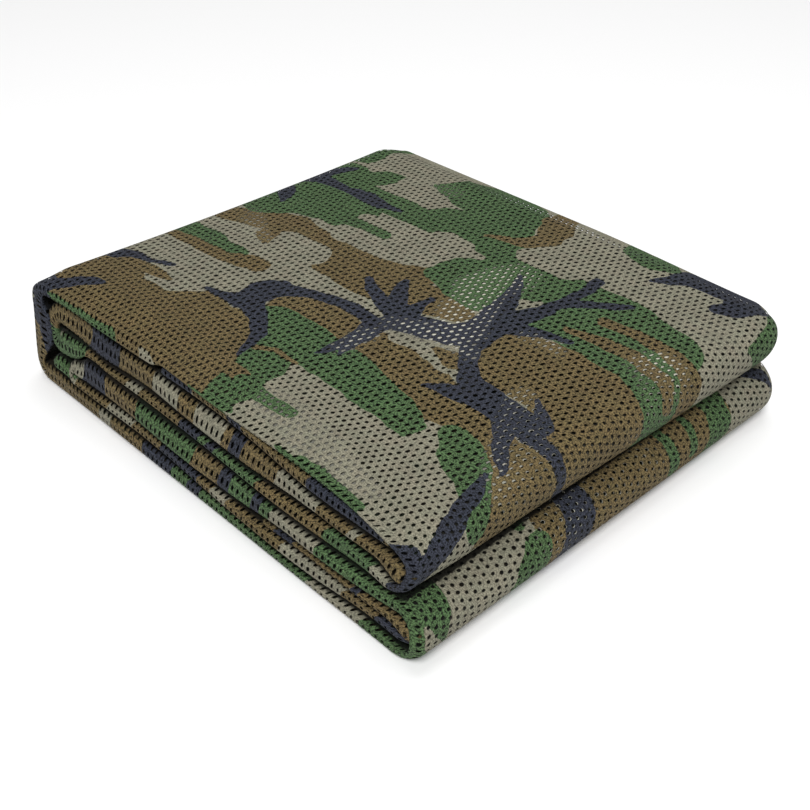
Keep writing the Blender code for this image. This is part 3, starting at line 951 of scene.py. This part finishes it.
# The print where the photograph doesn't show it, in millimetres along and across the cloth.
FAR_COLOURS = {"brown": 0.32, "green": 0.34, "khaki": 0.22, "black": 0.12}
FAR_PATCH_START = (-20, 10)
FAR_PATCH_SPACING = (26, 30)
FAR_PATCH_STRAY = (9, 10)  # how far a patch may start from its even place
FAR_PATCH_SIZE = 17
FAR_TWIG_SIZE = 7
FAR_PATCH_POINTS = 4
FAR_PATCH_WIDTHS = (0.6, 1.1)  # a patch's half width at a point, as a share of its size
FAR_PATCH_STEP_SHARE = 0.9  # how far apart its points are, as a share of its size
FAR_PATCH_BEND = 0.8  # the most that its line bends at a point, in radians


def far_print():
    """Strokes of the same print where the photograph doesn't show it, in millimetres of the cloth."""
    chance = np.random.default_rng(5)
    stray_along, stray_across = FAR_PATCH_STRAY
    patches = []
    first_along, first_across = FAR_PATCH_START
    for along in np.arange(first_along, CLOTH_LENGTH * 1000 - first_along, FAR_PATCH_SPACING[0]):
        for across in np.arange(first_across, CLOTH_WIDTH * 1000, FAR_PATCH_SPACING[1]):
            colour = chance.choice(list(FAR_COLOURS), p=list(FAR_COLOURS.values()))
            size = FAR_TWIG_SIZE if colour == "black" else FAR_PATCH_SIZE
            x = along + chance.uniform(-stray_along, stray_along)
            y = across + chance.uniform(-stray_across, stray_across)
            heading = chance.uniform(0, math.pi)
            line = []
            for _ in range(FAR_PATCH_POINTS):
                line.append((x, y, size * chance.uniform(*FAR_PATCH_WIDTHS)))
                heading += chance.uniform(-FAR_PATCH_BEND, FAR_PATCH_BEND)
                x += math.cos(heading) * size * FAR_PATCH_STEP_SHARE
                y += math.sin(heading) * size * FAR_PATCH_STEP_SHARE
            patches.append({"colour": colour, "line": line})
    return patches


# How far the other strokes' print reaches, in millimetres: along the top and the upper roll, along
# the lower roll, and across the near fold.
TOP_PRINT = (-8, 362)
LOWER_ROLL_PRINT = (-22, 52)
NEAR_FOLD_PRINT = (-6, 34)


def shown(along, across):
    """Whether a place on the cloth, in millimetres, is one where the other strokes give the print."""
    top = TOP_PRINT[0] < TOP_LEFT_U * 1000 - along < TOP_PRINT[1]
    roll = LOWER_ROLL_PRINT[0] < along - LOWER_ROLL_U * 1000 < LOWER_ROLL_PRINT[1]
    near_fold = NEAR_FOLD_PRINT[0] < across - NEAR_CREASE_V * 1000 < NEAR_FOLD_PRINT[1]
    return near_fold or (across < NEAR_CREASE_V * 1000 and (top or roll))


def reaches_shown(line):
    """Whether a stroke reaches the print that the other strokes give."""
    sides = ((-1, 0), (1, 0), (0, -1), (0, 1))
    return any(shown(x + side_x * r, y + side_y * r) for x, y, r in line for side_x, side_y in sides)


FAR_STROKES = [stroke for stroke in far_print() if not reaches_shown(stroke["line"])]

# How far the print's edges wobble, in millimetres, and the size of the wobble's lumps in metres.
BROAD_WOBBLE = {"by": 1.5, "cell": 0.016}
FINE_WOBBLE = {"by": 0.8, "cell": 0.006}
BARE_DEPTH = -20.0  # the depth of a colour far from all of its strokes
STROKE_FADE = 12  # how far outside a stroke its depth is still worked out, in millimetres


def edge_wobble(u, v, seeds):
    """How far the print's edges stray from their strokes, in millimetres."""
    broad, fine = (
        wobble["by"] * smooth_lumps(u, v, wobble["cell"], seed)
        for wobble, seed in zip((BROAD_WOBBLE, FINE_WOBBLE), seeds)
    )
    return broad + fine


def camouflage_fields(u, v):
    """How deep each point lies in each colour of the print, in millimetres. The deepest one shows,
    and a later stroke lies over the earlier ones."""
    along = u * 1000 + edge_wobble(u, v, (11, 12))
    across = v * 1000 + edge_wobble(u, v, (13, 14))
    up = PRINT_START_V * 1000 - across
    fields = {colour: np.full(u.shape, BARE_DEPTH) for colour in ("brown", "green", "black")}
    fields["khaki"] = np.zeros(u.shape)

    def lay(layers, a, b):
        for stroke in layers:
            line = stroke["line"]
            reach = max(r for _, _, r in line) + STROKE_FADE
            low_a, high_a = min(p[0] for p in line) - reach, max(p[0] for p in line) + reach
            low_b, high_b = min(p[1] for p in line) - reach, max(p[1] for p in line) + reach
            near = np.flatnonzero((a > low_a) & (a < high_a) & (b > low_b) & (b < high_b))
            if len(near):
                field = fields[stroke["colour"]]
                others = [fields[colour][near] for colour in fields if colour != stroke["colour"]]
                over = np.max(others, axis=0) + stroke_depth(a[near], b[near], line)
                field[near] = np.maximum(field[near], over)

    lay(TOP_STROKES, TOP_LEFT_U * 1000 - along, up)
    lay(LOWER_ROLL_STROKES, along - LOWER_ROLL_U * 1000, up)
    lay(FAR_STROKES, along, across)
    for run in NEAR_FOLD_RUNS:
        band = OTHER_FOLD_LINES.get(run["strip"], FOLD_LINE)
        past = 0 if run["strip"] in STRIP_PRINT else band["reach"]
        ends = run["start"] + band["reach"], max(run["end"] - past, run["start"] + band["reach"])
        line = [(x, band["middle"], band["reach"]) for x in ends]
        lay([{"colour": run["colour"], "line": line}], along, up)
    lay(SPINE_STROKES, along - leg_start("spine") * 1000, up)
    return fields


# ---- materials ----

KHAKI = (0.190, 0.180, 0.133)
BROWN = (0.104, 0.077, 0.034)
GREEN = (0.050, 0.088, 0.036)
BLACK = (0.023, 0.026, 0.037)
REVERSE = (0.62, 0.60, 0.51)
# Painted shade: the near black that the reverse is given where the second ply lies deep.
REVERSE_PAINTED_SHADE = (0.006, 0.006, 0.005)
YARN_PINK = (1.06, 0.99, 0.99)
YARN_GREEN = (0.94, 1.02, 1.00)
REVERSE_SHADE_SHARE = 0.75
# How much the flecks of pale and dark yarn stand out in each colour of the print, and on the reverse.
SPECKLE = {"khaki": 0.42, "brown": 0.80, "green": 0.90, "black": 0.90}
REVERSE_SPECKLE = 0.15
# A stitch's width and length, in metres, and by how many radians its wave shifts in a metre along.
STITCH_WIDTH = 0.00115
STITCH_LENGTH = 0.0012
STITCH_LEAN = 2600.0
STITCH_SHADE = 0.14
# How many flecks, blotches or tints lie in a metre, and the noise between which they fade.
FLECKS = 950.0
FLECK_SPAN = (0.34, 0.66)
BLOTCHES = 60.0
BLOTCH_SPAN = (0.3, 0.7)
YARN_TINTS = 140.0
REVERSE_TINTS = 300.0
# How many flecks in a metre fray the print's edge, how far, and how soft it is, in millimetres.
PRINT_FUZZ = {"flecks": 900.0, "reach": 0.6, "edge": 0.2}
# Factors that multiply the colour: over blotches, a painted highlight in from a hole's rim, painted shade
# at the rim, and painted shade in a crease between strips.
BLOTCH_SHADES = (0.92, 1.08)
RIM_PAINTED_HIGHLIGHT = (0.98, 1.10)
RIM_PAINTED_SHADE = (1.0, 0.62)
CREASE_PAINTED_SHADE = (1.0, 0.08)
YARN_ROUGHNESS = (0.78, 0.98)
YARN_GLOSS = 0.18
YARN_SHEEN = 0.03
STITCH_RELIEF = 0.5
RIM_RELIEF = 0.6
RELIEF_STRENGTH = 0.55
RELIEF_DEPTH = 0.00035


class Nodes:
    """A material's node tree, built by calls that give back each node's output."""

    def __init__(self, name):
        self.material = bpy.data.materials.new(name)
        self.material.use_nodes = True
        self.tree = self.material.node_tree
        self.surface = self.tree.nodes["Principled BSDF"]

    def add(self, kind, inputs=None, output=0, **settings):
        node = self.tree.nodes.new(kind)
        for name, value in settings.items():
            setattr(node, name, value)
        for name, value in (inputs or {}).items():
            socket = node.inputs[name]
            if isinstance(value, bpy.types.NodeSocket):
                self.tree.links.new(value, socket)
            else:
                socket.default_value = value
        return node.outputs[output]

    def math(self, operation, *values):
        return self.add("ShaderNodeMath", dict(enumerate(values)), operation=operation)

    def field(self, name):
        return self.add("ShaderNodeAttribute", output="Fac", attribute_name=name)

    def blend(self, share, first, second, kind="MIX"):
        node = self.tree.nodes.new("ShaderNodeMix")
        node.data_type = "RGBA"
        node.blend_type = kind
        for socket, value in ((0, share), (6, first), (7, second)):
            if isinstance(value, bpy.types.NodeSocket):
                self.tree.links.new(value, node.inputs[socket])
            else:
                node.inputs[socket].default_value = value if socket == 0 else (*value, 1)
        return node.outputs[2]

    def noise(self, place, scale, detail=2.0, roughness=0.5):
        inputs = {"Vector": place, "Scale": scale, "Detail": detail, "Roughness": roughness}
        return self.add("ShaderNodeTexNoise", inputs, output="Fac")

    def steps(self, value, low, high, to_low=0.0, to_high=1.0):
        names = ("Value", "From Min", "From Max", "To Min", "To Max")
        inputs = dict(zip(names, (value, low, high, to_low, to_high)))
        return self.add("ShaderNodeMapRange", inputs, interpolation_type="SMOOTHSTEP")

    def link(self, output, socket):
        self.tree.links.new(output, self.surface.inputs[socket])


def knit_surface(nodes, place, colour, speckle):
    """The knit's own look over any colour: stitches, pale yarn flecks, a painted highlight round the
    holes, painted shade at their rims and in creases, and a rough bump.
    """
    parts = nodes.tree.nodes.new("ShaderNodeSeparateXYZ")
    nodes.tree.links.new(place, parts.inputs[0])
    u, v = parts.outputs[0], parts.outputs[1]
    wale = nodes.math("SINE", nodes.math("MULTIPLY", u, 2 * math.pi / STITCH_WIDTH))
    lean = nodes.math("MULTIPLY", u, STITCH_LEAN)
    course = nodes.math("SINE", nodes.math("MULTIPLY_ADD", v, 2 * math.pi / STITCH_LENGTH, lean))
    stitch = nodes.math("MULTIPLY", wale, course)
    fleck = nodes.noise(place, FLECKS, 2.0, 0.7)
    blotch = nodes.noise(place, BLOTCHES, 3.0, 0.6)
    rim, crease_shade = nodes.field("rim"), nodes.field("crease_shade")
    shade = nodes.math("MULTIPLY_ADD", nodes.steps(fleck, *FLECK_SPAN, -1.0, 1.0), speckle, 1.0)
    for part in (
        nodes.math("MULTIPLY_ADD", stitch, STITCH_SHADE, 1.0),
        nodes.steps(blotch, *BLOTCH_SPAN, *BLOTCH_SHADES),
        # Painted highlight in from each hole's rim, painted shade at the rim, and painted shade in the
        # creases between strips.
        nodes.steps(rim, 0.0, 0.5, *RIM_PAINTED_HIGHLIGHT),
        nodes.steps(rim, 0.6, 1.0, *RIM_PAINTED_SHADE),
        nodes.steps(crease_shade, 0.0, 0.8, *CREASE_PAINTED_SHADE),
    ):
        shade = nodes.math("MULTIPLY", shade, part)
    tint = nodes.blend(nodes.noise(place, YARN_TINTS, 1.0), YARN_PINK, YARN_GREEN)
    tinted = nodes.blend(1.0, colour, tint, "MULTIPLY")
    shaded = nodes.add("ShaderNodeVectorMath", {0: tinted, "Scale": shade}, operation="SCALE")
    nodes.link(shaded, "Base Color")
    nodes.link(nodes.steps(fleck, 0.2, 0.8, *YARN_ROUGHNESS), "Roughness")
    height = nodes.math("MULTIPLY_ADD", stitch, STITCH_RELIEF, fleck)
    height = nodes.math("MULTIPLY_ADD", nodes.steps(rim, 0.2, 0.9), RIM_RELIEF, height)
    relief = {"Height": height, "Strength": RELIEF_STRENGTH, "Distance": RELIEF_DEPTH}
    nodes.link(nodes.add("ShaderNodeBump", relief), "Normal")
    nodes.surface.inputs["Specular IOR Level"].default_value = YARN_GLOSS
    nodes.surface.inputs["Sheen Weight"].default_value = YARN_SHEEN
    return nodes.material


def printed_knit():
    """The cloth's face: each point takes the colour that it lies deepest in."""
    nodes = Nodes("printed mesh knit")
    place = nodes.add("ShaderNodeUVMap", uv_map="cloth")
    reach, edge = PRINT_FUZZ["reach"], PRINT_FUZZ["edge"]
    flecks = nodes.noise(place, PRINT_FUZZ["flecks"], 1.0)
    fuzz = nodes.math("MULTIPLY_ADD", flecks, 2 * reach, -reach)
    colour, speckle = KHAKI, SPECKLE["khaki"]
    deepest = nodes.field("khaki")
    for name, paint in (("brown", BROWN), ("green", GREEN), ("black", BLACK)):
        field = nodes.field(name)
        over = nodes.math("ADD", nodes.math("SUBTRACT", field, deepest), fuzz)
        share = nodes.steps(over, -edge, edge)
        colour = nodes.blend(share, colour, paint)
        speckle = nodes.steps(share, 0.0, 1.0, speckle, SPECKLE[name])
        deepest = nodes.math("MAXIMUM", deepest, field)
    return knit_surface(nodes, place, colour, speckle)


def reverse_knit():
    """The unprinted reverse, pale where the second ply touches the first, with painted shade, near black,
    where it lies deep.
    """
    nodes = Nodes("pale reverse of the knit")
    place = nodes.add("ShaderNodeUVMap", uv_map="cloth")
    shaded = tuple(REVERSE_SHADE_SHARE * part for part in REVERSE)
    colour = nodes.blend(nodes.noise(place, REVERSE_TINTS, 2.0), REVERSE, shaded)
    # Painted shade: near black where the second ply lies deep, its own pale colour where it touches.
    colour = nodes.blend(nodes.field("pale"), REVERSE_PAINTED_SHADE, colour)
    return knit_surface(nodes, place, colour, REVERSE_SPECKLE)


PRINTED = printed_knit()
REVERSE_SIDE = reverse_knit()

# ---- the second ply, seen through the holes ----

# Where the second ply touches the first, along (along, up, half width) lines in millimetres, and how much
# of its pale colour shows through the holes there instead of painted shade: on the top and the upper roll,
# then on the lower roll.
TOP_TOUCHES = [
    {"pale": 1.0, "line": [(186, 204, 15), (182, 180, 17), (190, 158, 17), (204, 138, 16)]},
    {"pale": 0.9, "line": [(176, 118, 8), (196, 124, 11), (222, 126, 8)]},
    {"pale": 0.8, "line": [(174, 100, 5), (174, 80, 4)]},
    {"pale": 0.6, "line": [(232, 160, 8), (248, 166, 5)]},
    {"pale": 0.6, "line": [(268, 118, 8), (284, 104, 14), (300, 84, 16), (318, 66, 14)]},
    {"pale": 0.9, "line": [(296, 190, 12), (312, 180, 14), (330, 168, 14), (345, 150, 16)]},
    {"pale": 0.9, "line": [(352, 225, 10), (356, 196, 12)]},
    {"pale": 0.5, "line": [(345, 120, 16), (338, 90, 14)]},
    {"pale": 0.5, "line": [(10, 148, 8), (30, 138, 9), (48, 128, 8)]},
    {"pale": 0.4, "line": [(62, 262, 8), (84, 258, 8)]},
    {"pale": 0.25, "line": [(186, 20, 16), (230, 14, 18), (270, 10, 10)]},
    {"pale": 0.2, "line": [(250, 250, 14), (300, 240, 12)]},
]
LOW_TOUCHES = [
    {"pale": 0.9, "line": [(-4, 90, 8), (14, 96, 14), (22, 112, 10)]},
    {"pale": 0.5, "line": [(16, 130, 12), (14, 160, 14)]},
]
# How softly a touch ends and how far its edge strays, in millimetres, and how far the painted shade may
# lift on the rest; each cell is the size of its lumps in metres.
TOUCH_EDGE = (-5, 6)
TOUCH_UNEVENNESS = {"by": 4, "cell": 0.02}
STRAY_UNSHADED_SHARE = {"by": 0.12, "cell": 0.045}
SLIP_CELL = 0.07
# How far below the first ply the second one lies, in metres: away from it, touching it, and where
# both turn round one of the bundle's edges.
SECOND_PLY_DEEP = 0.0030
SECOND_PLY_SHALLOW = -0.0003
SECOND_PLY_AT_TURN = 0.0005
TOUCHING_FROM_UNSHADED_SHARE = 0.3
# Where the bundle's edges are on the top, in millimetres of the strokes' own measures.
LEFT_EDGE = (6, 24)
RIGHT_EDGE = (300, 330)
FAR_EDGE = (250, 270)


def second_ply_unshaded_share(u, v):
    """How much of its own pale colour the second ply keeps against painted shade, from 0 where it lies
    deep to 1 where it touches.
    """
    up = (v - SECOND_PLY_START) * 1000
    uneven = TOUCH_UNEVENNESS["by"] * smooth_lumps(u, v, TOUCH_UNEVENNESS["cell"], 31)
    stray = smooth(0.1, 0.9, smooth_lumps(u, v, STRAY_UNSHADED_SHARE["cell"], 33))
    pale = STRAY_UNSHADED_SHARE["by"] * stray
    for touches, along in ((TOP_TOUCHES, TOP_LEFT_U - u), (LOW_TOUCHES, u - LOWER_ROLL_U)):
        for touch in touches:
            depth = stroke_depth(along * 1000, up, touch["line"])
            pale = np.maximum(pale, touch["pale"] * smooth(*TOUCH_EDGE, depth + uneven))
    return pale


def turned_share(u, v):
    """How near the second ply is to where the cloth turns round one of the bundle's edges, from 0 to 1."""
    along, up = (TOP_LEFT_U - u) * 1000, (v - SECOND_PLY_START) * 1000
    turned = np.maximum(1 - smooth(*LEFT_EDGE, along), smooth(*RIGHT_EDGE, along))
    return np.maximum(turned, smooth(*FAR_EDGE, up))


def second_ply_gap(u, v):
    """How far the second ply lies below the first; it lies close where the cloth turns round an edge."""
    touching = smooth(0.0, TOUCHING_FROM_UNSHADED_SHARE, second_ply_unshaded_share(u, v))
    gap = mix(SECOND_PLY_DEEP, SECOND_PLY_SHALLOW, touching)
    return mix(gap, np.minimum(gap, SECOND_PLY_AT_TURN), turned_share(u, v))


def second_ply_slip(u, v):
    """How far the second ply has slipped along the first: half of the holes' pitch round the edges."""
    return 0.5 * HOLE_PITCH * mix(smooth_lumps(u, v, SLIP_CELL, 32), 1.0, turned_share(u, v))


# ---- the bundle's pieces ----

# Rows of holes across the cloth that each kind of piece takes in.
COVER_ROWS = (0, EDGE_ROW)
TONGUE_ROWS = (PLY_ROWS - 6, EDGE_ROW)
SELVEDGE_SPAN = (0, 6)
LIP_ROWS = (PLY_ROWS - 7, EDGE_ROW + 4)
FAR_LOOP_ROW = int((NEAR_CREASE_V + NEAR_FOLD_LENGTH + FAR_FOLD_Y - NEAR_Y - NEAR_FOLD_DEPTH) / ROW_PITCH)
FAR_LOOP_ROWS = (FAR_LOOP_ROW - 3, FAR_LOOP_ROW + 5)
# Columns of holes along the cloth that the pieces take in.
WHOLE_LENGTH = (0, LAST_COLUMN)
UPPER_TONGUE = (0, UPPER_RETURN_COLUMN)
LOWER_TONGUE = (COVER_COLUMN, LAST_COLUMN)
PLAIN_STEPS = 80

# The printed pieces: their columns and rows of holes, and what their holes' unevenness starts from.
for name, columns, rows, seed in (
    ("upper_cover", (UPPER_RETURN_COLUMN, GROUND_COLUMN), COVER_ROWS, 21),
    ("under_cover", (GROUND_COLUMN, COVER_COLUMN), COVER_ROWS, 22),
    ("upper_tongue_fold", UPPER_TONGUE, TONGUE_ROWS, 23),
    ("lower_tongue_fold", LOWER_TONGUE, TONGUE_ROWS, 24),
    ("upper_tongue_selvedge", UPPER_TONGUE, SELVEDGE_SPAN, 25),
    ("lower_tongue_selvedge", LOWER_TONGUE, SELVEDGE_SPAN, 26),
    ("far_folds", WHOLE_LENGTH, FAR_LOOP_ROWS, 27),
):
    cloth_piece(name, knit_patch(columns, rows, seed), PRINTED)

# The second ply lies with its reverse outwards, behind the top, the left edge and the lower roll.
for name, columns, seed in (
    ("second_ply", (UPPER_RETURN_COLUMN, column_at(leg_end("spine"))), 28),
    ("lower_roll_second_ply", (column_at(leg_end("ground") - PAST_A_ROLL), COVER_COLUMN), 29),
):
    patch = knit_patch(columns, (0, PLY_ROWS), seed)
    cloth_piece(name, patch, REVERSE_SIDE, across_start=SECOND_PLY_START, second=True)

inner = plain_patch(WHOLE_LENGTH, EDGE_ROW * ROW_PITCH, SECOND_PLY_START, PLAIN_STEPS)
cloth_piece("inner_plies", inner, PRINTED)

for seed, (name, way) in enumerate(LIP_WAYS.items(), start=31):
    columns = (column_at(way["length"][0]) + 1, int(way["length"][-1] / HOLE_PITCH))
    cloth_piece(name, knit_patch(columns, LIP_ROWS, seed), PRINTED, way=way)

# ---- floor, light and camera ----

FLOOR_SIZE = 6
FLOOR_PAINT = (0.90, 0.90, 0.90, 1)
FLOOR_ROUGHNESS = 0.9
AIR_LIGHT = 0.28

floor_mesh = bpy.data.meshes.new("floor")
build = bmesh.new()
bmesh.ops.create_grid(build, x_segments=1, y_segments=1, size=FLOOR_SIZE)
build.to_mesh(floor_mesh)
build.free()
floor = bpy.data.objects.new("floor", floor_mesh)
bpy.context.scene.collection.objects.link(floor)
floor_paint = Nodes("pale studio floor")
floor_paint.surface.inputs["Base Color"].default_value = FLOOR_PAINT
floor_paint.surface.inputs["Roughness"].default_value = FLOOR_ROUGHNESS
floor_mesh.materials.append(floor_paint.material)


def soft_light(name, place, aim, size, power):
    """A round softbox at a place, aimed at a point."""
    light = bpy.data.lights.new(name, "AREA")
    light.shape = "DISK"
    light.size = size
    light.energy = power
    lamp = bpy.data.objects.new(name, light)
    lamp.location = place
    lamp.rotation_euler = (Vector(aim) - Vector(place)).to_track_quat("-Z", "Y").to_euler()
    bpy.context.scene.collection.objects.link(lamp)
    return lamp


soft_light("key softbox", (1.30, -1.26, 2.41), (0, 0, 0.02), 1.4, 80)
soft_light("overhead softbox", (-0.6, 0.8, 3.0), (0, 0, 0), 2.4, 38)

world = bpy.data.worlds.new("studio air")
world.use_nodes = True
world.node_tree.nodes["Background"].inputs["Color"].default_value = (1, 1, 1, 1)
world.node_tree.nodes["Background"].inputs["Strength"].default_value = AIR_LIGHT
bpy.context.scene.world = world
bpy.context.scene.view_settings.view_transform = "Standard"

CAMERA_AIM = Vector((0.0, 0.0046, -0.0136))
CAMERA_DISTANCE = 0.7011
CAMERA_AZIMUTH = math.radians(46.33)
CAMERA_ELEVATION = math.radians(35.32)
CAMERA_LENS = 51.8
camera_data = bpy.data.cameras.new("camera")
camera_data.lens = CAMERA_LENS
camera_data.clip_start = 0.05
camera = bpy.data.objects.new("camera", camera_data)
level = math.cos(CAMERA_ELEVATION)
back = Vector(
    (
        math.sin(CAMERA_AZIMUTH) * level,
        -math.cos(CAMERA_AZIMUTH) * level,
        math.sin(CAMERA_ELEVATION),
    )
)
camera.location = CAMERA_AIM + back * CAMERA_DISTANCE
camera.rotation_euler = (-back).to_track_quat("-Z", "Y").to_euler()
bpy.context.scene.collection.objects.link(camera)
bpy.context.scene.camera = camera
